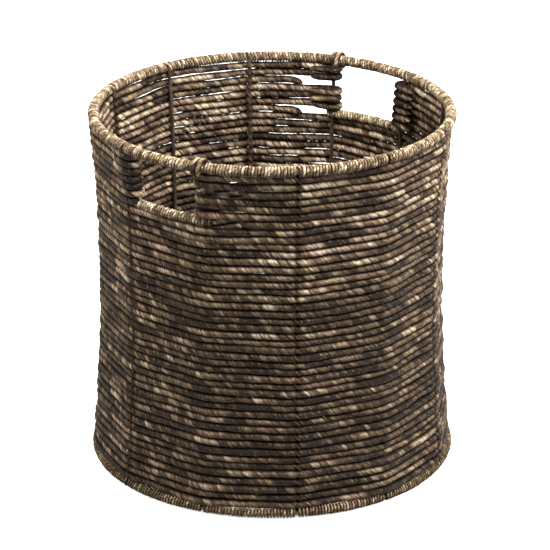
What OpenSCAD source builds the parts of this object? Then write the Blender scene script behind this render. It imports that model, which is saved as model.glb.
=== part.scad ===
// Round storage basket: courses of twisted seagrass rope laced on a welded
// wire frame, with a handle window on each side.
// Millimetres, +Z up. The origin is the centre of the circle it stands on.
// The handle windows face -X and +X.

/* [Frame] */
// Diameter of the rim ring, to the middle of its wire
rim_ring_d = 370; // [350:2:390]
// Diameter of the base ring, to the middle of its wire
base_ring_d = 376; // [360:2:390]
// Height between the middles of the two rings
ring_rise = 370; // [364:1:376]
// Wire thickness of the two rings
ring_wire_d = 5; // [4:0.5:6]
// Wire thickness of the ribs, handle bars and base wires
rib_wire_d = 4; // [3:0.5:4]
// Radius of the long arc that draws each rib in at the waist
waist_arc_r = 1800; // [1500:50:4000]

/* [Rope] */
// Thickness of the seagrass rope in the wall
rope_d = 7.6; // [7:0.1:7.8]
// Outer thickness of the cord binding on the rim
rim_wrap_d = 11; // [10:0.5:12]
// Outer thickness of the cord binding on the base ring
base_wrap_d = 10; // [9:0.5:11]
// Outer thickness of the cord binding on a handle bar
handle_wrap_d = 10; // [8:0.5:10]
// Thickness of the rope end that lies over the rim beside a window
hitch_d = 6; // [5:0.5:7]
// Thickness of the strand that laces the courses to a rib
lace_d = 1.2; // [0.8:0.1:1.6]

/* [Base] */
// Diameter of the small wire ring in the middle of the base
hub_ring_d = 90; // [60:5:120]
// Diameter of the coiled rope mat in the base
mat_d = 357; // [330:1:358]

/* [Hidden] */
eps = 0.05;               // depth of a weld where two wires touch
gap = 0.3;                // clearance between soft pieces
bore_gap = 0.1;           // clearance between a binding and its wire
base_squash = 0.2;        // how far the base binding is pressed flat
course_count = 45;        // rope courses between rim and base
window_courses = 7;       // courses that stop at the handle windows
coil_courses = 6;         // of those, the ones that turn back round a rib
short_courses = [3, 7];   // of those, the ones that start only past the slits
slit_angle = 17;          // how far the slits run from one post of a window
rib_count = 12;
lace_count = 6;           // every other rib is laced on the outside
wire_stub = 1.5;          // how far a rib runs past the middle of a ring
tail_angle = 7;           // length of a turned-back rope end, round the wall
tuck_angle = 1;           // where a course that isn't turned back stops short
joint_half = 0.3;         // half the space between two lengths inside a ball

rib_step = 360 / rib_count;
lace_step = 360 / lace_count;
window_half = rib_step / 2;
rope_r = rope_d / 2;
joint_r = rope_r + 0.1;
rib_r = rib_wire_d / 2;
ring_r = ring_wire_d / 2;
lace_r = lace_d / 2;
hitch_r = hitch_d / 2;
rim_r = rim_ring_d / 2;
base_r = base_ring_d / 2;
base_z = base_wrap_d / 2 - base_squash;
rim_z = base_z + ring_rise;

// A rib is one shallow arc in its own upright plane. It touches the inner side
// of both rings, and the middle of the arc lies outside the basket.
rib_top_x = rim_r - ring_r - rib_r + eps;
rib_foot_x = base_r - ring_r - rib_r + eps;
rib_lean = rib_top_x - rib_foot_x;
rib_chord = norm([rib_lean, ring_rise]);
arc_reach = sqrt(pow(waist_arc_r, 2) - pow(rib_chord / 2, 2));
arc_x = (rib_top_x + rib_foot_x) / 2 + arc_reach * ring_rise / rib_chord;
arc_z = (rim_z + base_z) / 2 - arc_reach * rib_lean / rib_chord;

// Radius at height z of the line that lies "out" outside the middle of a rib
function wall_radius(z, out = 0) =
    arc_x - sqrt(pow(waist_arc_r - out, 2) - pow(z - arc_z, 2));

// Course k is counted from 1 at the rim. The rope lies outside the ribs.
rope_out = rib_r + gap + rope_r;
lace_out = rope_out + rope_r + bore_gap + lace_r;
first_z = rim_z - rim_wrap_d / 2 - gap - rope_r;
last_z = base_z + base_wrap_d / 2 + gap + rope_r;
course_pitch = (first_z - last_z) / (course_count - 1);
function course_z(k) = first_z - (k - 1) * course_pitch;
function course_radius(k) = wall_radius(course_z(k), rope_out);

bar_z = course_z(coil_courses) - rope_r - gap - handle_wrap_d / 2;
bar_radius = wall_radius(bar_z);
mat_h = rope_d;
mat_z = base_z + rib_r + bore_gap;
hub_r = hub_ring_d / 2;

// The angle that a distance across the wall covers at a radius
function span(distance, radius) = asin(distance / radius);

RIBS = [for (i = [1 : rib_count]) str("rib_", i)];
LACINGS = [for (i = [1 : lace_count]) str("lacing_", i)];
WINDOW_COURSES = [for (k = [1 : window_courses]) str("course_", k)];
ROUND_COURSES = [for (k = [window_courses + 1 : 2 : course_count - 1])
    str("courses_", k, "_", k + 1)];
HANDLES = ["left", "right"];
HANDLE_BARS = [for (side = HANDLES) str("handle_bar_", side)];
HANDLE_BINDINGS = [for (side = HANDLES) str("handle_binding_", side)];

// A round bar bent to a whole circle, or to the arc between two directions
module hoop(radius, r) {
    rotate_extrude($fn = 180) translate([radius, 0]) circle(r, $fn = 32);
}
module bow(radius, r, from, to) {
    rotate_extrude(start = from, angle = to - from, $fn = 240)
        translate([radius, 0]) circle(r, $fn = 32);
}

// The same arc as a sleeve round a wire
module sleeve(radius, r, bore_r, from, to) {
    rotate_extrude(start = from, angle = to - from, $fn = 240)
        translate([radius, 0]) difference() {
            circle(r, $fn = 32);
            circle(bore_r, $fn = 32);
        }
}

// An upright bar that follows the wall, "out" outside the ribs
module wall_bar(direction, r, out, low_z, high_z) {
    radius = waist_arc_r - out;
    low = 180 - asin((low_z - arc_z) / radius);
    high = 180 - asin((high_z - arc_z) / radius);
    rotate(direction) translate([arc_x, 0, arc_z]) rotate([90, 0, 0])
        rotate_extrude(start = high, angle = low - high, $fn = 2160)
            translate([radius, 0]) circle(r, $fn = 32);
}

module rim_ring() {
    color("#4a3d30") translate([0, 0, rim_z]) hoop(rim_r, ring_r);
}

module base_ring() {
    color("#4a3d30") translate([0, 0, base_z]) hoop(base_r, ring_r);
}

module rib(i) {
    color("#4a3d30") wall_bar(
        window_half + (i - 1) * rib_step, rib_r, 0, base_z - wire_stub, rim_z + wire_stub
    );
}

module handle_bar() {
    reach = window_half - span(rib_r - eps, bar_radius);
    color("#4a3d30") translate([0, 0, bar_z]) bow(bar_radius, rib_r, -reach, reach);
}

module base_hub_ring() {
    color("#4a3d30") translate([0, 0, base_z]) hoop(hub_r, rib_r);
}

// Spokes run from the hub ring to the feet of the laced ribs
module base_spokes() {
    from = hub_r + rib_r - eps;
    to = wall_radius(base_z) - rib_r + eps;
    color("#4a3d30") for (i = [0 : lace_count - 1])
        rotate(i * lace_step - window_half) translate([from, 0, base_z])
            rotate([0, 90, 0]) cylinder(h = to - from, r = rib_r, $fn = 32);
}

// The bindings on the rings stop at each rib, where the wires are welded
module ring_binding(radius, r, rib_x) {
    stop = span(rib_r + gap, rib_x);
    for (i = [0 : rib_count - 1])
        sleeve(radius, r, ring_r + bore_gap,
            window_half + i * rib_step + stop, window_half + (i + 1) * rib_step - stop);
}

module rim_binding() {
    color("#9d8a64") translate([0, 0, rim_z])
        ring_binding(rim_r, rim_wrap_d / 2, wall_radius(rim_z));
}

module base_binding() {
    floor_cut = 2 * base_r;
    color("#8f7c5a") difference() {
        translate([0, 0, base_z]) ring_binding(base_r, base_wrap_d / 2, wall_radius(base_z));
        translate([0, 0, -floor_cut / 2]) cube([2 * floor_cut, 2 * floor_cut, floor_cut], center = true);
    }
}

module handle_binding() {
    reach = window_half - span(rib_r + gap, bar_radius);
    color("#9d8a64") translate([0, 0, bar_z])
        sleeve(bar_radius, handle_wrap_d / 2, rib_r + bore_gap, -reach, reach);
}

// A rope end that turns back round the rib at direction 0, on the window's
// side, and finishes as a short tail on the inside of the wall. A ball a
// little thicker than the rope joins each pair of lengths.
module turned_end(k) {
    rib_x = wall_radius(course_z(k));
    turn_r = course_radius(k) - rib_x;
    trim = span(joint_half, turn_r);
    translate([rib_x, 0]) rotate_extrude(start = 180 + trim, angle = 180 - 2 * trim, $fn = 64)
        translate([turn_r, 0]) circle(rope_r, $fn = 32);
    bow(rib_x - turn_r, rope_r, span(joint_half, rib_x - turn_r), tail_angle);
    for (x = [rib_x - turn_r, rib_x + turn_r])
        translate([x, 0]) sphere(joint_r, $fn = 48);
}

// Two lengths of rope, one across the front and one across the back. A short
// course leaves a slit between its neighbours beside one post of each window.
module window_course(k) {
    short = len(search(k, short_courses)) > 0;
    turned = k <= coil_courses;
    stop = window_half + (turned ? span(joint_half, course_radius(k)) : tuck_angle);
    start = short ? window_half + slit_angle : stop;
    color("#5d5044") translate([0, 0, course_z(k)]) for (half_turn = [0, 180])
        rotate(half_turn) {
            bow(course_radius(k), rope_r, start, 180 - stop);
            if (turned && !short) rotate(window_half) turned_end(k);
            if (turned) mirror([1, 0, 0]) rotate(window_half) turned_end(k);
        }
}

module round_courses(k) {
    color("#5d5044") for (j = [k, k + 1])
        translate([0, 0, course_z(j)]) hoop(course_radius(j), rope_r);
}

// A rope end laid over the rim, close beside one post of each window
module rim_hitches() {
    beside = window_half - span(rib_r + gap + hitch_r, rim_r);
    color("#5d5044") for (half_turn = [0, 180])
        rotate(half_turn + beside) translate([rim_r, 0, rim_z]) rotate([90, 0, 0])
            rotate_extrude(angle = 180, $fn = 64)
                translate([rim_wrap_d / 2 + gap + hitch_r, 0]) circle(hitch_r, $fn = 32);
}

// Two of the laced ribs stand beside a window, so their strands start below it
module lacing(i) {
    direction = (i - 1) * lace_step - window_half;
    beside_window = (i - 1) % (lace_count / 2) == 0;
    top = beside_window ? course_z(window_courses + 1) : rim_z - rim_wrap_d / 2 + gap;
    color("#6e5840") wall_bar(
        direction, lace_r, lace_out, base_z + base_wrap_d / 2 - gap, top
    );
}

// The mat is a closed disc with the rounded edge of its outermost turn
module base_mat() {
    color("#5d5044") translate([0, 0, mat_z]) rotate_extrude($fn = 180) {
        square([mat_d / 2 - mat_h / 2, mat_h]);
        translate([mat_d / 2 - mat_h / 2, mat_h / 2]) intersection() {
            circle(mat_h / 2, $fn = 32);
            translate([0, -mat_h / 2]) square(mat_h);
        }
    }
}

// Strands over the mat that tie it down to each spoke
module base_mat_ties() {
    color("#6e5840") for (i = [0 : lace_count - 1])
        rotate(i * lace_step - window_half)
            translate([hub_r, 0, mat_z + mat_h + bore_gap + lace_r]) rotate([0, 90, 0])
                cylinder(h = mat_d / 2 - mat_h / 2 - hub_r, r = lace_r, $fn = 32);
}

rim_ring();
base_ring();
for (i = [1 : rib_count]) rib(i);
for (s = [0, 1]) rotate(180 - s * 180) handle_bar();
base_hub_ring();
base_spokes();
rim_binding();
base_binding();
for (s = [0, 1]) rotate(180 - s * 180) handle_binding();
for (k = [1 : window_courses]) window_course(k);
for (n = [0 : len(ROUND_COURSES) - 1])
    round_courses(window_courses + 1 + 2 * n);
rim_hitches();
for (i = [1 : lace_count]) lacing(i);
base_mat();
base_mat_ties();
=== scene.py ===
"""Looks for the round storage basket: every rope, binding and strand, and the wire frame's paint.

Lengths here are millimetres and angles degrees until a mesh is made. The places and thicknesses come
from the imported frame. Directions are measured from +X, which runs through the middle of a handle window.
"""

import math

import bpy
import numpy as np
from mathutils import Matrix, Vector


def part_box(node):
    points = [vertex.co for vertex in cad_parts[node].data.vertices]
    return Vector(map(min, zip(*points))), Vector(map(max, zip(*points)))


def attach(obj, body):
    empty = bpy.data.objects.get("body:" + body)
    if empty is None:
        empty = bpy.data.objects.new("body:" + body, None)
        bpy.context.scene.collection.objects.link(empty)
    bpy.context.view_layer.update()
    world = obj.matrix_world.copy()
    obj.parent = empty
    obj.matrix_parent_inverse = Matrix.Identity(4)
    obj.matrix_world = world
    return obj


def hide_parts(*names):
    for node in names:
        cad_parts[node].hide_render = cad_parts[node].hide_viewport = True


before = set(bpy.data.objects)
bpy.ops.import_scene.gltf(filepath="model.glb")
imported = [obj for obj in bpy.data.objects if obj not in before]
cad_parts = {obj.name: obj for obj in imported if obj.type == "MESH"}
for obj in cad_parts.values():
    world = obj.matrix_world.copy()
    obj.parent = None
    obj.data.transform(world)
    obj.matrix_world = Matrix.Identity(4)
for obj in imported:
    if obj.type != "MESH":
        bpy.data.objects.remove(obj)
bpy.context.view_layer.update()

MM = 0.001
FULL = 2 * math.pi
UP = np.array([0.0, 0.0, 1.0])


# ---------------------------------------------------------------- the frame's own sizes

def box(node):
    """Lowest and highest corner of a CAD node, in millimetres."""
    low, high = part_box(node)
    return np.array(low) / MM, np.array(high) / MM


def direction(node):
    """Which way a node's middle lies from the basket's own, in whole degrees."""
    low, high = box(node)
    middle = (low + high) / 2
    return round(math.degrees(math.atan2(middle[1], middle[0]))) % 360


def ring_size(node):
    """Ring radius, height of its middle, and the radius of its wire."""
    low, high = box(node)
    wire = (high[2] - low[2]) / 2
    return high[0] - wire, (high[2] + low[2]) / 2, wire


def names(prefix):
    """The numbered nodes with this prefix, in order."""
    found = [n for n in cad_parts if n.startswith(prefix) and n[len(prefix):][0].isdigit()]
    return sorted(found, key=lambda n: int(n[len(prefix):].split("_")[0]))


RIM_R, RIM_Z, RING_WIRE = ring_size("rim_ring")
BASE_R, BASE_Z, _ = ring_size("base_ring")
RIM_WRAP = (box("rim_binding")[1][2] - box("rim_binding")[0][2]) / 2
BASE_WRAP = box("base_binding")[1][2] - BASE_Z
BAR_R, BAR_Z, RIB_WIRE = ring_size("handle_bar_right")
BAR_WRAP = (box("handle_binding_right")[1][2] - box("handle_binding_right")[0][2]) / 2
RIBS = [direction(n) for n in names("rib_")]
LACED = [direction(n) for n in names("lacing_")]
WINDOWS = {"right": 0, "left": 180}
WINDOW_HALF = min(RIBS)

PAIRS = names("courses_")
WINDOW_COURSES = len(names("course_"))
COURSES = WINDOW_COURSES + 2 * len(PAIRS)
PAIR_Z = [(box(n)[0][2] + box(n)[1][2]) / 2 for n in PAIRS]
PITCH = (PAIR_Z[0] - PAIR_Z[-1]) / (2 * len(PAIRS) - 2)
ROPE_R = (box(PAIRS[0])[1][2] - box(PAIRS[0])[0][2] - PITCH) / 2
COIL_COURSES = WINDOW_COURSES - 1


def course_z(k):
    """Height of the middle of the course that is k-th from the rim."""
    return PAIR_Z[0] + PITCH * (WINDOW_COURSES + 1.5 - k)


def wall_profile():
    """Radius of the middle of a wall rope as a quadratic in height, through the CAD's pairs of courses."""
    radius = [box(n)[1][0] - ROPE_R for n in PAIRS]
    narrowing = [a > b for a, b in zip(radius, radius[1:])] + [False]
    wider = [z + PITCH / 2 * (1 if upper else -1) for z, upper in zip(PAIR_Z, narrowing)]
    return np.polyfit(wider, radius, 2)


PROFILE = wall_profile()
TURN_R = RIB_WIRE + 0.3 + ROPE_R  # from the middle of a rib to the middle of a rope


def wall_r(z):
    return np.polyval(PROFILE, z)


# ---------------------------------------------------------------- small maths

def wander(at, step, rng, period=None):
    """A smooth random line from -1 to 1 with a new value every "step", read at the positions "at"."""
    at = np.asarray(at, float)
    if period:
        count = max(3, round(period / step))
        place = at / period * count
    else:
        place = (at - at.min()) / step
        count = int(place.max()) + 2
    knots = rng.uniform(-1, 1, count)
    cell = np.floor(place).astype(int)
    part = place - cell
    part = part * part * (3 - 2 * part)
    return knots[cell % count] * (1 - part) + knots[(cell + 1) % count] * part


def polar(radius, angle, z):
    a = np.radians(angle)
    radius, a, z = np.broadcast_arrays(radius, a, z)
    return np.stack([radius * np.cos(a), radius * np.sin(a), z], axis=-1)


def bump_at(angle, centre, width):
    """1 at a direction, falling to 0 within a few times "width", round the circle."""
    off = (np.asarray(angle) - centre + 180) % 360 - 180
    return np.exp(-((off / width) ** 2))


def lengths(points):
    """Distance run at each point of a path."""
    steps = np.linalg.norm(np.diff(points, axis=0), axis=1)
    return np.concatenate([[0], np.cumsum(steps)])


def respace(points, step):
    """The same path with a point about every "step"."""
    run = lengths(points)
    even = np.linspace(0, run[-1], max(8, round(run[-1] / step)) + 1)
    return np.stack([np.interp(even, run, points[:, i]) for i in range(3)], axis=1)


def unit(v):
    return v / np.linalg.norm(v, axis=-1, keepdims=True)


# ---------------------------------------------------------------- tubes

class Tubes:
    """Round strands gathered into one mesh. The attribute "weave" says where each corner lies: turns of the
    twist, part of the way round the strand, and how much lighter or darker the fibre is there, from its own
    tone and from painted light and shade."""

    def __init__(self):
        self.points, self.faces, self.ends, self.weave, self.count = [], [], [], [], 0

    def add(self, path, outward, radius, turns, sides, closed=False, shift=0.0, tone=0.0):
        """path and outward are (n, 3), and outward says which way the strand's outer side faces; radius and
        turns are (n, sides + 1)."""
        n = len(path)
        if closed:
            along = unit(np.roll(path, -1, 0) - np.roll(path, 1, 0))
        else:
            along = unit(np.gradient(path, axis=0))
        side = unit(np.cross(along, outward))
        outward = np.cross(side, along)
        phi = np.linspace(0, FULL, sides + 1) - FULL / 4
        ring = (outward[:, None] * np.cos(phi)[None, :-1, None]
                + side[:, None] * np.sin(phi)[None, :-1, None])
        self.points.append((path[:, None] + ring * radius[:, :-1, None]).reshape(-1, 3))
        i, j = np.meshgrid(np.arange(n if closed else n - 1), np.arange(sides), indexing="ij")
        i, j = i.ravel(), j.ravel()
        ahead, round_ = (i + 1) % n, (j + 1) % sides
        corners = [(i, j), (i, round_), (ahead, round_), (ahead, j)]
        self.faces.append(self.count + np.stack([a * sides + b for a, b in corners], axis=1))
        rows = np.vstack([turns, 2 * turns[-1:] - turns[-2:-1]]) if closed else turns
        places = [(i, j), (i, j + 1), (i + 1, j + 1), (i + 1, j)]
        tone = np.broadcast_to(tone, n)
        weave = [np.stack([rows[a, b] + shift, b / sides, tone[a % n]], axis=1) for a, b in places]
        self.weave.append(np.stack(weave, axis=1))
        if not closed:
            first = self.count + np.arange(sides)
            self.ends += [first[::-1], first + (n - 1) * sides]
        self.count += n * sides

    def build_mesh(self, name):
        """All the strands as one mesh, each closed or with two flat ends."""
        points = np.concatenate(self.points) * MM
        faces = np.concatenate(self.faces)
        weave = np.concatenate(self.weave).reshape(-1, 3)
        end_loops = np.concatenate(self.ends) if self.ends else np.zeros(0, int)
        sizes = np.concatenate([np.full(len(faces), 4), [len(e) for e in self.ends]]).astype(int)
        corners = np.concatenate([faces.ravel(), end_loops])
        weave = np.vstack([weave, np.zeros((len(end_loops), 3))])
        mesh = bpy.data.meshes.new(name)
        mesh.vertices.add(len(points))
        mesh.vertices.foreach_set("co", points.astype(np.float32).ravel())
        mesh.loops.add(len(corners))
        mesh.loops.foreach_set("vertex_index", corners.astype(np.int32))
        mesh.polygons.add(len(sizes))
        starts = np.concatenate([[0], np.cumsum(sizes)[:-1]])
        mesh.polygons.foreach_set("loop_start", starts.astype(np.int32))
        mesh.polygons.foreach_set("use_smooth", np.ones(len(sizes), bool))
        mesh.update(calc_edges=True)
        layer = mesh.attributes.new("weave", "FLOAT_VECTOR", "CORNER")
        layer.data.foreach_set("vector", weave.astype(np.float32).ravel())
        return mesh

    def make_piece(self, name, material, slot, *nodes):
        """Makes the object, which rides on the basket and stands for the given CAD nodes."""
        mesh = self.build_mesh(name)
        mesh.materials.append(material)
        piece = bpy.data.objects.new(name, mesh)
        bpy.context.scene.collection.objects.link(piece)
        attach(piece, "root")
        if nodes:
            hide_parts(*nodes)


PLIES = 2           # every strand here is two plies twisted together
GROOVE_SHARP = 1.6  # how narrow the groove between two plies is
THIN_END = 0.35     # a tapered strand's tip, against its full thickness

# Each kind of strand: the length of one turn of its twist, the sides of its tube, how far its plies are set
# into each other, how much its thickness varies, and how much of a groove splits each ply in two
ROPE_KIND = {"twist": 18.0, "sides": 12, "depth": 0.14, "rough": 0.07}
MAT_ROPE_KIND = {**ROPE_KIND, "sides": 10}
WALL_ROPE_KIND = {**ROPE_KIND, "depth": 0.12, "rough": 0.08, "fold": 0.3}
CORD_KIND = {"twist": 6.0, "sides": 8, "depth": 0.2, "rough": 0.12}
STRAND_KIND = {"twist": 3.0, "sides": 6, "depth": 0.08, "rough": 0.06}


def twisted(tubes, path, outward, radius, rng, twist, sides, depth, rough, closed=False, shift=0.0,
            taper=0.0, fold=0.0, tone=0.0):
    """Adds one strand of twisted plies. "taper" is the length of its thin ends, and "shift" a number of turns
    that sets its colours apart from other strands'."""
    run = lengths(path)
    total = run[-1] + (np.linalg.norm(path[0] - path[-1]) if closed else 0)
    twist = total / max(1, round(total / twist))
    phi = np.linspace(0, 1, sides + 1)
    helix = run[:, None] - twist * phi[None, :]
    helix = helix + 0.1 * twist * wander(helix, 1.7 * twist, rng, total)
    turns = helix / twist
    groove = (1 - np.abs(np.sin(math.pi * PLIES * turns))) ** GROOVE_SHARP
    if fold:
        split = (1 - np.abs(np.cos(math.pi * PLIES * turns))) ** GROOVE_SHARP
        groove = groove + fold * (1 + wander(helix, 0.8 * twist, rng, total)) * split
    deep = depth * (1 + 0.9 * wander(run, 1.5 * twist, rng, total))
    thick = 1 + rough * wander(run, 1.9 * twist, rng, total)
    thick = thick + rough / 2 * wander(run, 0.5 * twist, rng, total)
    if taper:
        from_end = np.minimum(run, total - run)
        thick = thick * (THIN_END + (1 - THIN_END) * np.sin(np.clip(from_end / taper, 0, 1) * math.pi / 2))
    relief = thick[:, None] * (1 + 0.35 * depth) - deep[:, None] * groove
    size = np.broadcast_to(radius, len(path))[:, None] * relief
    tubes.add(path, outward, size, turns, sides, closed, shift, tone)


# ---------------------------------------------------------------- materials

class Shader:
    """A short way to write a node material."""

    MIX_FACTOR, MIX_A, MIX_B, MIX_COLOUR = 0, 6, 7, 2  # the colour sockets of a Mix node

    def __init__(self, name):
        self.material = bpy.data.materials.new(name)
        self.material.use_nodes = True
        self.tree = self.material.node_tree
        self.surface = self.tree.nodes["Principled BSDF"]

    def node(self, kind, settings=None, **inputs):
        made = self.tree.nodes.new(kind)
        for key, value in (settings or {}).items():
            setattr(made, key, value)
        for key, value in inputs.items():
            self.put(made.inputs[key], value)
        return made

    def put(self, socket, value):
        if isinstance(value, bpy.types.NodeSocket):
            self.tree.links.new(value, socket)
        else:
            socket.default_value = value

    def maths(self, operation, *values, clamp=False):
        made = self.node("ShaderNodeMath", {"operation": operation, "use_clamp": clamp})
        for socket, value in zip(made.inputs, values):
            self.put(socket, value)
        return made.outputs[0]

    def ramp(self, factor, stops):
        made = self.node("ShaderNodeValToRGB", Fac=factor)
        elements = made.color_ramp.elements
        while len(elements) < len(stops):
            elements.new(0.5)
        for element, (place, colour) in zip(elements, stops):
            element.position = place
            element.color = (*colour, 1)
        return made.outputs["Color"]

    def mix(self, factor, a, b, blend="MIX"):
        made = self.node("ShaderNodeMix", {"data_type": "RGBA", "blend_type": blend})
        self.put(made.inputs[self.MIX_FACTOR], factor)
        self.put(made.inputs[self.MIX_A], a)
        self.put(made.inputs[self.MIX_B], b)
        return made.outputs[self.MIX_COLOUR]

    def scaled(self, value, low, high):
        """value, which runs from 0 to 1, spread over low to high."""
        ends = {"To Min": low, "To Max": high}
        return self.node("ShaderNodeMapRange", Value=value, **ends).outputs[0]

    def finish(self, **sockets):
        for key, value in sockets.items():
            self.put(self.surface.inputs[key.replace("_", " ")], value)
        return self.material


def srgb(r, g, b):
    """A colour as a paint chart gives it, 0 to 255, in the shader's linear numbers."""
    return tuple((c / 255 / 12.92) if c <= 10 else ((c / 255 + 0.055) / 1.055) ** 2.4 for c in (r, g, b))


def shaded(level):
    """A level of light among the fibres: browner where it is low."""
    return (level, level ** 1.18, level ** 1.42)


class Fibre(Shader):
    """A fibre material, which reads a strand's attribute "weave"."""

    def __init__(self, name):
        super().__init__(name)
        weave = self.node("ShaderNodeAttribute", {"attribute_name": "weave"}).outputs["Vector"]
        self.turns, self.around, self.tone_and_painted_light = self.node("ShaderNodeSeparateXYZ", Vector=weave).outputs

    def noise(self, along, across, detail=2.0, offset=0.0):
        """Noise from 0 to 1, with about so many grains in a turn of the twist and round the strand."""
        place = self.node("ShaderNodeCombineXYZ", X=self.maths("MULTIPLY", self.turns, along),
                          Y=self.maths("MULTIPLY", self.around, across), Z=offset).outputs[0]
        made = self.node("ShaderNodeTexNoise", Vector=place, Scale=1.0, Detail=detail, Roughness=0.6)
        return made.outputs["Fac"]

    def cells(self, place, size, offset, feature="F1"):
        """Stretches of about this size along the strand."""
        place = self.maths("MULTIPLY_ADD", place, 1 / size, offset)
        settings = {"voronoi_dimensions": "1D", "feature": feature}
        return self.node("ShaderNodeTexVoronoi", settings, W=place, Scale=1.0)

    def random(self, cells):
        """Three random numbers for each stretch."""
        return self.node("ShaderNodeSeparateColor", Color=cells.outputs["Color"]).outputs

    def darken(self, colour, factor, *stops):
        """The colour in darker or lighter light, which follows the factor."""
        levels = self.ramp(factor, [(place, shaded(level)) for place, level in stops])
        return self.mix(1.0, colour, levels, "MULTIPLY")


# A blade's tone, from 0 to 1: its own, that of the stretch it lies in, and slow clouds, set a little darker
OWN_TONE, STRETCH_TONE, CLOUD_TONE, TONE_OFFSET = 0.56, 0.70, 0.4, -0.11
OWN_LENGTH = 0.7    # a blade's own stretch, against the stretch that the plies share
FRAY = 0.09         # how slanted and ragged the ends of a stretch are, in turns
CREASE_SHADE_NOISE = 0.28  # how ragged the painted shade between two ropes is
PLY_APART = 31.7    # how far apart two plies lie in the pattern of their own stretches
BLADE_TINTS = [
    (0.0, (1.0, 1.02, 0.82)), (0.3, (1.0, 1.0, 0.97)), (0.6, (1.0, 1.0, 1.0)), (0.9, (1.0, 0.94, 0.98)),
]


def fibre_material(name, tones, blade, streaks, groove_painted_shade, crease_painted_shade=1.0, contrast=1.0, scuffs=1.0):
    """Twisted plant fibre. Each blade of it has its own tone and tint over a stretch with slanted ends,
    wrinkles and fine streaks along the twist, and painted shade where plies meet and where ropes meet.
    "blade" is a stretch's length in turns of the twist, and "streaks" is how many wrinkles fit in a turn."""
    s = Fibre(name)
    streak = s.noise(2.4 * streaks, 5.0, 3.0)
    wrinkle = s.noise(streaks, 1.6, 1.0, 3.0)
    cloud = s.noise(streaks / 4, 2.2)
    frayed = s.maths("ADD", s.turns, s.scaled(wrinkle, -FRAY, FRAY))
    ply = s.maths("FLOORED_MODULO", s.maths("FLOOR", s.maths("MULTIPLY", s.turns, PLIES)), PLIES)
    stretch = s.random(s.cells(frayed, blade, 0.0))
    own = s.random(s.cells(frayed, OWN_LENGTH * blade, s.maths("MULTIPLY_ADD", ply, PLY_APART, 13.0)))

    tone = s.maths("MULTIPLY_ADD", own[0], OWN_TONE, TONE_OFFSET)
    tone = s.maths("MULTIPLY_ADD", stretch[0], STRETCH_TONE, tone)
    # the strand's own tone with its painted light and shade, and slow clouds
    tone_with_painted_light = s.maths("ADD", s.tone_and_painted_light, s.scaled(cloud, -CLOUD_TONE, CLOUD_TONE))
    colour = s.ramp(s.maths("ADD", tone, tone_with_painted_light, clamp=True), tones)
    colour = s.mix(1.0, colour, s.ramp(own[2], BLADE_TINTS), "MULTIPLY")

    blade_end = s.cells(frayed, blade, 0.0, "DISTANCE_TO_EDGE").outputs["Distance"]
    colour = s.darken(colour, blade_end, (0.0, 0.45), (0.07, 1.0))
    colour = s.darken(colour, wrinkle, (0.3, 1 - 0.4 * contrast), (0.5, 1.0), (0.7, 1 + 0.35 * contrast))
    colour = s.darken(colour, streak, (0.32, 1 - 0.5 * contrast), (0.5, 1.0), (0.66, 1 + 0.5 * contrast))
    worn = (scuffs * 0.8,) * 3
    scuff = s.ramp(s.noise(1.3 * streaks, 4.0, 2.0, 9.0), [(0.58, (0.0, 0.0, 0.0)), (0.70, worn)])
    colour = s.mix(scuff, colour, (*tones[-1][1], 1))

    # painted shade in the groove between two plies
    groove = s.maths("ABSOLUTE", s.maths("SINE", s.maths("MULTIPLY", s.turns, math.pi * PLIES)))
    colour = s.darken(colour, groove, (0.0, groove_painted_shade), (0.35, 1.0))
    # painted shade where one rope lies against the next, at the top and bottom of the strand
    if crease_painted_shade < 1:
        crease_shade_mask = s.maths("ABSOLUTE", s.maths("COSINE", s.maths("MULTIPLY", s.around, FULL)))
        ragged = s.scaled(s.noise(0.8 * streaks, 1.6, 2.0, 17.0), -CREASE_SHADE_NOISE, CREASE_SHADE_NOISE)
        colour = s.darken(colour, s.maths("ADD", crease_shade_mask, ragged), (0.47, 1.0), (0.86, crease_painted_shade))

    height = s.maths("ADD", s.maths("MULTIPLY", streak, 0.5), s.maths("MULTIPLY", wrinkle, 0.7))
    bump = s.node("ShaderNodeBump", Height=height, Strength=0.9, Distance=0.0012)
    return s.finish(Base_Color=colour, Roughness=s.scaled(streak, 0.6, 0.85), Normal=bump.outputs[0],
                    Specular_IOR_Level=0.12)


def paint_material():
    """Dark brown powder coat, slightly uneven, rubbed paler here and there."""
    s = Shader("frame_wire_paint")
    place = s.node("ShaderNodeTexCoord").outputs["Object"]
    cloud = s.node("ShaderNodeTexNoise", Vector=place, Scale=90.0, Detail=4.0).outputs["Fac"]
    grain = s.node("ShaderNodeTexNoise", Vector=place, Scale=1800.0, Detail=2.0).outputs["Fac"]
    colour = s.ramp(cloud, [(0.35, srgb(40, 30, 23)), (0.6, srgb(62, 48, 37)), (0.8, srgb(96, 78, 60))])
    bump = s.node("ShaderNodeBump", Height=grain, Strength=0.3, Distance=0.0003)
    return s.finish(Base_Color=colour, Roughness=s.scaled(cloud, 0.35, 0.6), Normal=bump.outputs[0])


ROPE_TONES = [
    (0.00, srgb(30, 20, 12)), (0.22, srgb(50, 37, 25)), (0.48, srgb(84, 67, 50)), (0.70, srgb(116, 97, 77)),
    (1.00, srgb(164, 145, 121)),
]
CORD_TONES = [
    (0.00, srgb(66, 50, 32)), (0.40, srgb(109, 90, 67)), (0.70, srgb(147, 129, 104)),
    (1.00, srgb(206, 191, 166)),
]
STRAND_TONES = [(0.00, srgb(40, 27, 15)), (0.50, srgb(68, 49, 31)), (1.00, srgb(98, 76, 53))]

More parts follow.
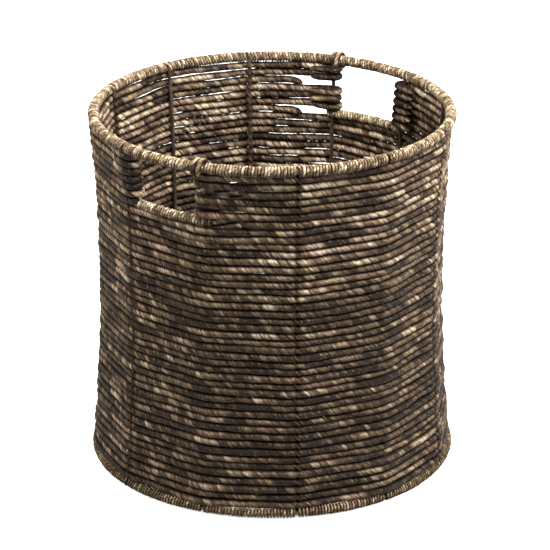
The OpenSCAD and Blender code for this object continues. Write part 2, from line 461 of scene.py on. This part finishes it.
ROPE = fibre_material("seagrass_rope_fibre", ROPE_TONES, blade=1.6, streaks=7.0, groove_painted_shade=0.32,
                      crease_painted_shade=0.08, contrast=1.5, scuffs=0.65)
CORD = fibre_material("binding_cord_fibre", CORD_TONES, blade=1.4, streaks=5.0, groove_painted_shade=0.45,
                      crease_painted_shade=0.25, contrast=0.8)
STRAND = fibre_material("lacing_strand_fibre", STRAND_TONES, blade=4.0, streaks=4.0, groove_painted_shade=0.5,
                        contrast=0.5, scuffs=0.3)
PAINT = paint_material()


# ---------------------------------------------------------------- the wall's shape

ROPE_STEP = 1.2
BAY = 2 * WINDOW_HALF  # from a laced rib to the next one, which isn't laced
HOLLOW = 4.6        # how far a rope runs inside the circle half way between two ribs
SOFT_BEND = 6.0     # degrees over which a rope rounds a rib that isn't laced
LACE_PULL = 1.8     # how far a laced rib draws the rope in
LACE_WIDTH = 1.6    # degrees over which it does, to each side
HELD_WIDTH = 3.0    # degrees from a laced rib over which the rope hardly wanders
PINCH, PINCH_WIDTH = 0.1, 0.9  # how much thinner the rope is under the lacing, and over how many degrees
WALL_STEP = 0.35    # degrees between the points of a window course, before they are spaced evenly
DRIFT_OUT, DRIFT_UP = 0.7, 0.8  # slow unevenness that the courses share
# A rope's own unevenness: how far it wanders, and over what length of rope
WANDER_OUT = ((0.8, 30), (0.4, 9))
WANDER_UP = ((0.5, 34), (0.2, 11))
SLIT_SPAN = 18.0    # degrees from a window's post over which the courses stand apart
SHORT_COURSES = (3, WINDOW_COURSES)  # these start only past the slits
TUCK_SPAN, TUCK_DEPTH = 6.0, 9.0  # a tucked end: how many degrees it goes on for, and how far in
TAIL_SPAN = 8.5     # degrees that a turned end goes back inside the wall
CLOSE_UP = 0.8      # how far the first course is pushed up to the rim; the next half as far, and so on
POST_PAINTED_SHADE, POST_WIDTH = 0.45, 2.6  # painted shade: how much darker a rope is round a window's post, and over how much
LACE_PAINTED_SHADE = 0.3    # painted shade: how much darker it is under the lacing
PATCH_LENGTH, PATCH_TONE = 110, 0.12  # lighter and darker lengths of one rope
COURSE_TONE = 0.06  # how much one course differs from the next
SHARED_TONE = 0.07  # patches that neighbouring courses share
COURSE_SHIFT = 97.0  # turns between the places in the fibre pattern that two courses take
# How thick the ropes are, against the CAD's: beside the windows, and below them
WINDOW_THICK = (1.03, 1.09)
WALL_THICK = (0.95, 1.18)
# How light or dark the rope is, darker towards the bottom, partly its own tone and partly painted shade:
# courses from the rim, and the tone there
HEIGHT_TONE_COURSES = (1, 7, 9, 17, 20, 21, 23, 45)
HEIGHT_TONE_LEVELS = (0.06, 0.06, 0.0, -0.02, -0.22, -0.20, -0.14, -0.17)
# Where the other courses lie along the slits: course, rise, and how far inwards
SLIT_SHIFTS = {2: (0.3, 0.0), 4: (-0.4, 0.3), 5: (1.6, 3.2), 6: (-0.2, 0.0), 8: (-1.3, 0.0), 9: (-1.9, 0.0)}


def uneven_courses():
    """How thick each course's rope is, against the CAD's, and how far its neighbours push it up or down."""
    rng = np.random.default_rng(900)
    thick = rng.uniform(*WINDOW_THICK, COURSES)
    first = WINDOW_COURSES + 2
    thick[first:] = rng.uniform(*WALL_THICK, COURSES - first)
    room = thick[first:] / thick[first:].mean() * PITCH
    pushed = np.zeros(COURSES)
    pushed[first:] = (np.arange(len(room)) + 0.5) * PITCH - (np.cumsum(room) - room / 2)
    return thick, pushed


THICK, PUSHED = uneven_courses()


def drift(angle, z):
    """Slow unevenness that neighbouring courses share."""
    a = np.radians(angle)
    return (0.45 * np.sin(3 * a + z / 70) + 0.35 * np.sin(7 * a - z / 45 + 1.3)
            + 0.25 * np.sin(11 * a + z / 23 + 4.0))


def laced_at(angle, width):
    """1 at a laced rib, falling to 0 on both sides."""
    return sum(bump_at(angle, rib, width) for rib in LACED)


def at_posts(angle, width):
    """1 at the posts beside the windows, falling to 0 on both sides."""
    posts = [window + way * WINDOW_HALF for window in WINDOWS.values() for way in (-1, 1)]
    return sum(bump_at(angle, post, width) for post in posts)


def beside_window(angle):
    """1 at the post where each window's slits begin, falling to 0 at their end, and to about half at the
    middle of the window, where it stops."""
    share = 0
    for window in WINDOWS.values():
        past = (angle - window - WINDOW_HALF + 30) % 360 - 30
        near = (past > -16) & (past < SLIT_SPAN)
        share = share + np.where(near, np.cos(np.clip(past / SLIT_SPAN, -0.6, 1) * math.pi / 2), 0)
    return share


def across_bay(angle):
    """0 at a rib that isn't laced, where the rope bends softly, and 1 at a laced one."""
    from_soft = np.abs((angle - LACED[0] + 2 * BAY) % (2 * BAY) - BAY)
    return np.hypot(from_soft, SOFT_BEND) / BAY - SOFT_BEND / BAY * (1 - from_soft / BAY)


def rope_tone_and_shade(k, angle, run, rng, around):
    """How light or dark the rope is: by its course, darker towards the bottom, partly its own tone and partly
    painted shade; along its length; and in patches that neighbours share.
    """
    tone = np.interp(k, HEIGHT_TONE_COURSES, HEIGHT_TONE_LEVELS) + rng.uniform(-COURSE_TONE, COURSE_TONE)
    tone = tone + PATCH_TONE * wander(run, PATCH_LENGTH, rng, around)
    return tone + SHARED_TONE * drift(2 * angle + 25, 3 * course_z(k))


def wall_rope(k, angle, rng, closed=True):
    """Radius and height of the middle of course k at these directions."""
    z = course_z(k)
    run = np.radians(angle) * wall_r(z)
    around = FULL * wall_r(z) if closed else None

    def own(wanders):
        return sum(reach * wander(run, length, rng, around) for reach, length in wanders)

    across = across_bay(angle)
    held = laced_at(angle, LACE_WIDTH)
    free = 1 - 0.9 * laced_at(angle, HELD_WIDTH)
    radius = wall_r(z) - 4 * HOLLOW * across * (1 - np.minimum(across, 1))
    radius = radius - LACE_PULL * held + DRIFT_OUT * drift(angle, z) + free * own(WANDER_OUT)
    height = z + PUSHED[k - 1] + DRIFT_UP * drift(angle + 40, z) + free * own(WANDER_UP)
    height = height + CLOSE_UP * (0.5 ** (k - 1) - 0.5 ** (COURSES - k))
    rise, inward = SLIT_SHIFTS.get(k, (0, 0))
    beside = beside_window(angle)
    return radius - inward * beside, height + rise * beside


def wall_twist(tubes, path, outward, rng, k, shift, closed=False, taper=0.0):
    """The wall's own rope, thicker or thinner and lighter or darker from one course to the next, and
    pinched where it is laced. Painted shade darkens it under the lacing and round the windows' posts."""
    angle = np.degrees(np.arctan2(path[:, 1], path[:, 0]))
    pinch = laced_at(angle, PINCH_WIDTH)
    radius = ROPE_R * THICK[k - 1] * (1 - PINCH * pinch)
    run = lengths(path)
    # painted shade under the lacing
    tone = rope_tone_and_shade(k, angle, run, rng, run[-1] + ROPE_STEP if closed else None) - LACE_PAINTED_SHADE * pinch
    if not closed:
        # painted shade round the windows' posts
        tone = tone - POST_PAINTED_SHADE * at_posts(angle, POST_WIDTH)
    twisted(tubes, path, outward, radius, rng, **WALL_ROPE_KIND, closed=closed, shift=shift, taper=taper,
            tone=tone)


def round_course(k, node):
    rng = np.random.default_rng(1000 + k)
    count = round(FULL * wall_r(course_z(k)) / ROPE_STEP)
    start = rng.uniform(0, 360)
    angle = start + np.arange(count) * 360 / count
    radius, z = wall_rope(k, angle, rng)
    path = polar(radius, angle, z)
    tubes = Tubes()
    wall_twist(tubes, path, polar(1.0, angle, 0.0), rng, k, COURSE_SHIFT * k, closed=True)
    tubes.make_piece(f"rope_course_{k}", ROPE, "seagrass_rope", node)


def window_course(k, node):
    """Two lengths, each from one window's post round to the other window's."""
    tubes = Tubes()
    for half, window in enumerate(sorted(WINDOWS.values())):
        rng = np.random.default_rng(2000 + 10 * k + half)
        first = window + WINDOW_HALF + (SLIT_SPAN - 1 if k in SHORT_COURSES else 0)
        last = window + 180 - WINDOW_HALF
        angle = np.arange(first, last, WALL_STEP)
        radius, z = wall_rope(k, angle, rng, closed=False)
        wall = polar(radius, angle, z)
        first_end = tucked_end if k in SHORT_COURSES else turned_end
        last_end = turned_end if k <= COIL_COURSES else tucked_end
        start = first_end(wall[0], angle[0], -1, rng)[::-1]
        path = respace(np.vstack([start, wall, last_end(wall[-1], angle[-1], 1, rng)]), ROPE_STEP)
        along = unit(np.gradient(path, axis=0))
        outward = np.cross(along, UP)
        wall_twist(tubes, path, outward, rng, k, COURSE_SHIFT * k + 50 * half, taper=10.0)
    tubes.make_piece(f"rope_course_{k}", ROPE, "seagrass_rope", node)


def turned_end(start, angle, way, rng):
    """From the wall's end, half a turn round the rib on the window's side, and a tail inside the wall."""
    rib = polar(math.hypot(*start[:2]) - TURN_R, angle, start[2])
    out = polar(1.0, angle, 0.0)
    ahead = way * polar(1.0, angle + 90, 0.0)
    swell = TURN_R * rng.uniform(0.98, 1.12)
    turn = np.radians(np.arange(12, 181, 12))[:, None]
    loop = rib + TURN_R * np.cos(turn) * out + swell * np.sin(turn) * ahead
    loop[:, 2] += rng.uniform(-0.5, 0.5) * np.sin(turn[:, 0])
    tail_angle = angle - way * np.arange(1, TAIL_SPAN, 0.5)
    part = np.linspace(0, 1, len(tail_angle))
    tail_z = start[2] + rng.uniform(-2, 2) * part
    tail = polar(math.hypot(*rib[:2]) - TURN_R + part, tail_angle, tail_z)
    return np.vstack([loop, tail])


def tucked_end(start, angle, way, rng):
    """A short end that bends inwards past the wall."""
    part = np.linspace(0.05, 1.0, 18)
    radius = math.hypot(*start[:2]) - TUCK_DEPTH * part ** 2
    return polar(radius, angle + way * TUCK_SPAN * part, start[2] - part * rng.uniform(0.3, 1))


def build_wall():
    for k, node in enumerate(names("course_"), 1):
        window_course(k, node)
    for i, node in enumerate(PAIRS):
        for k in (WINDOW_COURSES + 1 + 2 * i, WINDOW_COURSES + 2 + 2 * i):
            round_course(k, node)


# ---------------------------------------------------------------- bindings

CORD_STEP = 1.3
CORD_FULL = 1.06    # the cord's thickness, against that of the CAD's sleeve
BASE_TONE, BAR_PAINTED_LIGHT = -0.25, 0.15  # the base's cord is darker than the rim's, and painted light makes the bars' lighter
RIM_LAY = 3.2       # from one turn of the cord to the next, round the rim and the handle bars
BASE_LAY = 3.3      # the same round the base
RIB_CLEAR = 4.5     # the cord crosses a rib on the outside, over this much of the ring
BASE_PRESS = 0.5    # how far the floor presses the base's binding up its ring
LEAN = 1.1          # how far a turn's top leans along the ring
UNEVEN_LAY = 0.12   # how far the turns stray from even spacing, against the lay
CROSSING = 10       # points where the cord crosses a rib
OUTERMOST = 0.25    # where a turn, counted from its top, is on the outside of the ring
BAR_LAPS = (0.5, 7.0)  # how far the bar's cord reaches past its two ribs
BAR_OUT = 1.0       # how far that cord sits outside the bar's own circle, over the ribs
HITCH_R = 3.0       # thickness of the rope over the rim beside a window, as a radius
HITCH_BEFORE = 0.9  # degrees from the window's post to the middle of that rope
HITCH_LEAN = 5.6    # how far it moves along the rim in one turn
HITCH_ENDS = (-0.32, 1.50)  # where it starts and ends, in turns up from the rim's outer side


def winding(ring_r, ring_z, wire, wrap, lay, stretches, rng):
    """Middle of a cord wound round a ring, which way is outwards along it, and the cord's radius. Each
    stretch is (from, to) between two ribs, wound in whole turns and a half, and the cord passes to the next
    stretch in half a turn across the outside of the rib."""
    cord = (wrap - wire) / 2
    clear = math.degrees(RIB_CLEAR / 2 / ring_r)
    crossing = np.linspace(0, 1, CROSSING, endpoint=False)
    ring_angle, phase = [], []
    turned = OUTERMOST
    for first, last in stretches:
        arc = math.radians(last - first) * ring_r - RIB_CLEAR
        turns = round(arc / lay) + 0.5
        count = max(60, int(turns * FULL * (wire + cord) / CORD_STEP))
        part = np.linspace(0, 1, count, endpoint=False)
        ring_angle.append(first + clear + (last - first - 2 * clear) * part)
        phase.append(turned + turns * part)
        ring_angle.append(last - clear + 2 * clear * crossing)
        phase.append(turned + turns + 0.5 * crossing)
        turned += turns + 0.5
    ring_angle, phase = np.concatenate(ring_angle), np.concatenate(phase)
    run = np.arange(len(phase)) * CORD_STEP
    ring_angle = ring_angle + np.degrees(lay * UNEVEN_LAY * wander(run, 40, rng) / ring_r)
    reach = (wire + cord) * (1 + 0.05 * (wander(run, 33, rng) + 0.6))
    turn = FULL * phase
    radius = ring_r + reach * np.sin(turn)
    z = ring_z + reach * np.cos(turn)
    ring_angle = ring_angle + np.degrees(LEAN * np.cos(turn) / ring_r)
    outward = polar(np.sin(turn), ring_angle, np.cos(turn))
    return polar(radius, ring_angle, z), outward, cord


def bound_ring(name, sizes, wrap, lay, node, seed, tone=0.0):
    """The cord round a whole ring."""
    ring_r, ring_z, wire = sizes
    rng = np.random.default_rng(seed)
    edges = sorted(RIBS) + [min(RIBS) + 360]
    path, outward, cord = winding(ring_r, ring_z, wire, wrap, lay, list(zip(edges, edges[1:])), rng)
    tubes = Tubes()
    twisted(tubes, path, outward, cord * CORD_FULL, rng, **CORD_KIND, shift=31.0, tone=tone)
    tubes.make_piece(name, CORD, "binding_cord", node)


def bound_bar(side):
    """The cord round a handle bar, which laps over the two ribs that the bar is welded to."""
    rng = np.random.default_rng(31 + len(side))
    window = WINDOWS[side]
    ends = (window - WINDOW_HALF, window + WINDOW_HALF)
    lap = [math.degrees((length + RIB_CLEAR / 2) / BAR_R) for length in BAR_LAPS]
    stretch = [(ends[0] - lap[0], ends[1] + lap[1])]
    path, outward, cord = winding(BAR_R + BAR_OUT, BAR_Z, RIB_WIRE, BAR_WRAP, RIM_LAY, stretch, rng)
    path, outward = path[:-CROSSING], outward[:-CROSSING]
    tubes = Tubes()
    # painted light makes the bar's cord lighter
    twisted(tubes, path, outward, cord * CORD_FULL, rng, **CORD_KIND, shift=400.0, tone=BAR_PAINTED_LIGHT)
    tubes.make_piece(f"handle_cord_{side}", CORD, "binding_cord", f"handle_binding_{side}")


def rim_hitch(side):
    """A thinner rope wound flat over the rim beside a handle window's post, with its ends tucked inside."""
    rng = np.random.default_rng(61 + len(side))
    middle = WINDOWS[side] + WINDOW_HALF - HITCH_BEFORE
    turn = np.linspace(*HITCH_ENDS, 110) * FULL
    reach = RIM_WRAP + 0.45 * HITCH_R
    angle = middle + math.degrees(HITCH_LEAN / RIM_R) * (turn / FULL - 0.6)
    path = polar(RIM_R + reach * np.cos(turn), angle, RIM_Z + reach * np.sin(turn))
    outward = polar(np.cos(turn), angle, np.sin(turn))
    tubes = Tubes()
    twisted(tubes, path, outward, HITCH_R, rng, **ROPE_KIND, shift=900.0, taper=6.0)
    tubes.make_piece(f"rim_hitch_{side}", ROPE, "seagrass_rope", "rim_hitches")


# ---------------------------------------------------------------- lacing and base

STRAND_R = 0.75
STRAND_STEP = 0.8
STITCH_POINTS = 12  # points of a strand between two ropes, before they are spaced evenly
MAT_STEP = 1.5 * ROPE_STEP
MAT_LAY = 1.01      # from one turn of the mat to the next, against the rope's thickness


def square_wave(turn):
    """A cosine that stays longer at its two ends."""
    c = np.cos(turn)
    return np.sign(c) * np.abs(c) ** 0.5


def lacing(index, node):
    """Two strands that pass each other between every two courses. While one is outside the rope, the other
    is behind the rib."""
    tubes = Tubes()
    post = any(abs((LACED[index] - window + 180) % 360 - 180) < BAY for window in WINDOWS.values())
    first = WINDOW_COURSES + 1 if post else 1  # at a window's post the lacing starts below the window
    count = COURSES - first
    course = np.linspace(first - 0.4, COURSES + 0.4, count * STITCH_POINTS)
    numbers = np.arange(COURSES) + 1
    z = course_z(course) + np.interp(course, numbers, PUSHED)
    rib = wall_r(z) - TURN_R + DRIFT_OUT * drift(LACED[index], z)
    pinched = 0.92 * ROPE_R * np.interp(course, numbers, THICK)
    outer = TURN_R + pinched + STRAND_R - LACE_PULL + 0.1
    inner = -(RIB_WIRE + STRAND_R + 0.1)
    for strand in (0, 1):
        rng = np.random.default_rng(300 + 10 * index + strand)
        turn = math.pi * (course + strand)
        out = rib + (outer + inner) / 2 + (outer - inner) / 2 * square_wave(turn)
        aside = (RIB_WIRE + STRAND_R) * np.sin(turn) + 0.4 * wander(course * PITCH, 25, rng)
        angle = LACED[index] + np.degrees(aside / rib)
        path = respace(polar(out, angle, z), STRAND_STEP)
        side = np.broadcast_to(polar(1.0, LACED[index] + 90.0, 0.0), path.shape)
        twisted(tubes, path, side, STRAND_R, rng, **STRAND_KIND, shift=40.0 * index + strand)
    tubes.make_piece(f"lacing_strands_{index + 1}", STRAND, "lacing_strand", node)


def base_mat():
    """One rope wound flat from the middle out."""
    rng = np.random.default_rng(77)
    low, high = box("base_mat")
    rope = (high[2] - low[2]) / 2
    lay = 2 * rope * MAT_LAY
    outer = high[0] - rope
    turns = outer / lay
    count = int(math.pi * turns * outer / MAT_STEP)
    turn = np.sqrt(np.linspace((0.3 / turns) ** 2, 1, count)) * turns
    radius = outer - lay * (turns - turn)
    z = (high[2] + low[2]) / 2 + 0.3 * wander(np.arange(len(turn)) * 1.5, 60, rng)
    path = polar(radius, turn * 360, z)
    tubes = Tubes()
    upward = np.broadcast_to(UP, path.shape)
    twisted(tubes, path, upward, rope, rng, **MAT_ROPE_KIND, shift=7000.0, taper=8.0)
    tubes.make_piece("base_mat_rope", ROPE, "seagrass_rope", "base_mat")


def mat_ties():
    """Twined strands that hold the mat's turns down on each spoke."""
    low, high = box("base_mat")
    lay = (high[2] - low[2]) * MAT_LAY
    hub = ring_size("base_hub_ring")[0]
    outer = box("base_mat_ties")[1][0] - 2 * RIB_WIRE
    turns = np.arange(hub / lay, high[0] / lay - 0.5, 1 / STITCH_POINTS)
    top, bottom = high[2] + STRAND_R - 0.2, BASE_Z - RIB_WIRE - STRAND_R
    tubes = Tubes()
    for index, angle in enumerate(LACED):
        for strand in (0, 1):
            rng = np.random.default_rng(500 + 10 * index + strand)
            turn = math.pi * (turns + strand)
            z = (top + bottom) / 2 + (top - bottom) / 2 * square_wave(turn)
            aside = (RIB_WIRE + STRAND_R) * np.sin(turn)
            radius = np.minimum(turns * lay, outer)
            path = polar(radius, angle + np.degrees(aside / radius), z)
            path = respace(path, STRAND_STEP)
            side = np.broadcast_to(polar(1.0, angle + 90.0, 0.0), path.shape)
            twisted(tubes, path, side, STRAND_R, rng, **STRAND_KIND, shift=600.0 + index)
    tubes.make_piece("mat_tie_strands", STRAND, "lacing_strand", "base_mat_ties")


FIBRES = 260
FIBRE_POINTS, FIBRE_SIDES = 6, 4


def loose_fibres():
    """Short ends of fibre that stand off the round courses' ropes."""
    rng = np.random.default_rng(5)
    tubes = Tubes()
    for i in range(FIBRES):
        z = rng.uniform(course_z(COURSES), course_z(9))
        angle = rng.uniform(0, 360)
        start = polar(wall_r(z) + 0.7 * ROPE_R, angle, z)
        out = polar(1.0, angle, 0.0)
        lift = out * rng.uniform(0.35, 0.9)
        sideways = polar(1.0, angle + 90, 0.0) * rng.choice([-1, 1])
        aim = unit(lift + sideways + UP * rng.uniform(-0.8, 0.5))
        curl = UP * rng.uniform(-1.0, 0.4) - 0.6 * out
        along = np.linspace(0, rng.uniform(3.0, 8.0), FIBRE_POINTS)[:, None]
        path = start + aim * along + curl * (along ** 2) * 0.05
        side = np.broadcast_to(unit(np.cross(aim, out)), path.shape)
        thin = np.repeat(np.linspace(0.22, 0.08, FIBRE_POINTS)[:, None], FIBRE_SIDES + 1, axis=1)
        turns = np.repeat(np.linspace(0, 0.4, FIBRE_POINTS)[:, None], FIBRE_SIDES + 1, axis=1)
        tubes.add(path, side, thin, turns, FIBRE_SIDES, shift=float(i))
    tubes.make_piece("loose_fibres", CORD, "seagrass_rope")


# ---------------------------------------------------------------- camera, floor and light

VIEW_DIRECTION, VIEW_HEIGHT, VIEW_DISTANCE = -143.0, 22.0, 3202.0
LENS, SENSOR = 198.3, 36.0
AIM_RIGHT, AIM_UP = 3.0, 1.9  # where the camera points, from the basket's middle
WARM_WHITE = (1.0, 0.94, 0.86)
LIGHTS_AIM = Vector((0, 0, 0.19))
SKY_BELOW, SKY_ABOVE = 0.12, 0.42  # against 1 at the horizon
FLOOR_SIZE, FLOOR_GLOW = 80, 0.6  # in metres; the glow makes it as pale as the sky from low down


def seen_from(angle, height, distance, centre):
    """The point this far from the centre, at this direction and this many degrees above it."""
    a, h = math.radians(angle), math.radians(height)
    offset = Vector((math.cos(a) * math.cos(h), math.sin(a) * math.cos(h), math.sin(h)))
    return centre + offset * distance


def build_camera():
    centre = Vector((0, 0, (RIM_Z + BASE_Z) / 2))
    place = seen_from(VIEW_DIRECTION, VIEW_HEIGHT, VIEW_DISTANCE, centre)
    look = (centre - place).normalized()
    right = look.cross(Vector((0, 0, 1))).normalized()
    aim = centre + right * AIM_RIGHT + right.cross(look) * AIM_UP
    data = bpy.data.cameras.new("camera")
    data.lens = LENS
    data.sensor_width = SENSOR
    camera = bpy.data.objects.new("camera", data)
    bpy.context.scene.collection.objects.link(camera)
    camera.location = place * MM
    camera.rotation_euler = (aim - place).to_track_quat("-Z", "Y").to_euler()
    bpy.context.scene.camera = camera


def area_light(name, angle, height, distance, size, power, colour=(1.0, 1.0, 1.0)):
    """A soft box that faces the basket, in metres and watts. The angle is from the camera's side, + to its
    right."""
    data = bpy.data.lights.new(name, "AREA")
    data.shape = "RECTANGLE"
    data.size, data.size_y = size
    data.energy = power
    data.color = colour
    light = bpy.data.objects.new(name, data)
    bpy.context.scene.collection.objects.link(light)
    light.location = seen_from(VIEW_DIRECTION + angle, height, distance, LIGHTS_AIM)
    light.rotation_euler = (LIGHTS_AIM - light.location).to_track_quat("-Z", "Y").to_euler()


def build_sky():
    """A white horizon, softer light from above, and much less from below."""
    world = bpy.data.worlds.new("studio")
    world.use_nodes = True
    nodes, links = world.node_tree.nodes, world.node_tree.links
    place = nodes.new("ShaderNodeTexCoord")
    split = nodes.new("ShaderNodeSeparateXYZ")
    level = nodes.new("ShaderNodeFloatCurve")
    curve = level.mapping.curves[0]
    curve.points[0].location = (0.0, SKY_BELOW)
    curve.points[1].location = (1.0, SKY_ABOVE)
    for height, light in ((0.3, SKY_BELOW), (0.47, 1.0), (0.53, 1.0), (0.6, SKY_ABOVE)):
        curve.points.new(height, light)
    for point in curve.points:
        point.handle_type = "VECTOR"
    level.mapping.update()
    half_up = nodes.new("ShaderNodeMapRange")
    half_up.inputs["From Min"].default_value = -1.0
    links.new(place.outputs["Generated"], split.inputs[0])
    links.new(split.outputs["Z"], half_up.inputs["Value"])
    links.new(half_up.outputs[0], level.inputs["Value"])
    links.new(level.outputs[0], nodes["Background"].inputs["Color"])
    bpy.context.scene.world = world


def build_studio():
    bpy.ops.mesh.primitive_plane_add(size=FLOOR_SIZE)
    floor = bpy.context.object
    floor.name = "floor"
    paper = Shader("floor_paper").finish(Base_Color=(0.9, 0.9, 0.9, 1), Roughness=0.9,
                                         Emission_Color=(1, 1, 1, 1), Emission_Strength=FLOOR_GLOW)
    floor.data.materials.append(paper)
    floor.visible_diffuse = False
    build_sky()
    area_light("key_light", 69, 56, 1.8, (0.8, 0.8), 78)
    area_light("fill_light", -90, 46, 1.9, (1.0, 1.0), 33, WARM_WHITE)
    area_light("top_light", 5, 70, 1.3, (0.7, 0.5), 16)
    area_light("back_light", 160, 42, 2.6, (1.2, 1.2), 34)
    bpy.context.scene.view_settings.view_transform = "Standard"


# ---------------------------------------------------------------- the whole basket

build_camera()
build_studio()
build_wall()
bound_ring("rim_cord", (RIM_R, RIM_Z, RING_WIRE), RIM_WRAP, RIM_LAY, "rim_binding", 11)
bound_ring("base_cord", (BASE_R, BASE_Z + BASE_PRESS, RING_WIRE), BASE_WRAP, BASE_LAY, "base_binding", 12,
           BASE_TONE)
for window_side in WINDOWS:
    bound_bar(window_side)
    rim_hitch(window_side)
for number, lacing_node in enumerate(names("lacing_")):
    lacing(number, lacing_node)
base_mat()
mat_ties()
loose_fibres()
for wire_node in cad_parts.values():
    if not wire_node.hide_render:
        wire_node.data.materials.clear()
        wire_node.data.materials.append(PAINT)
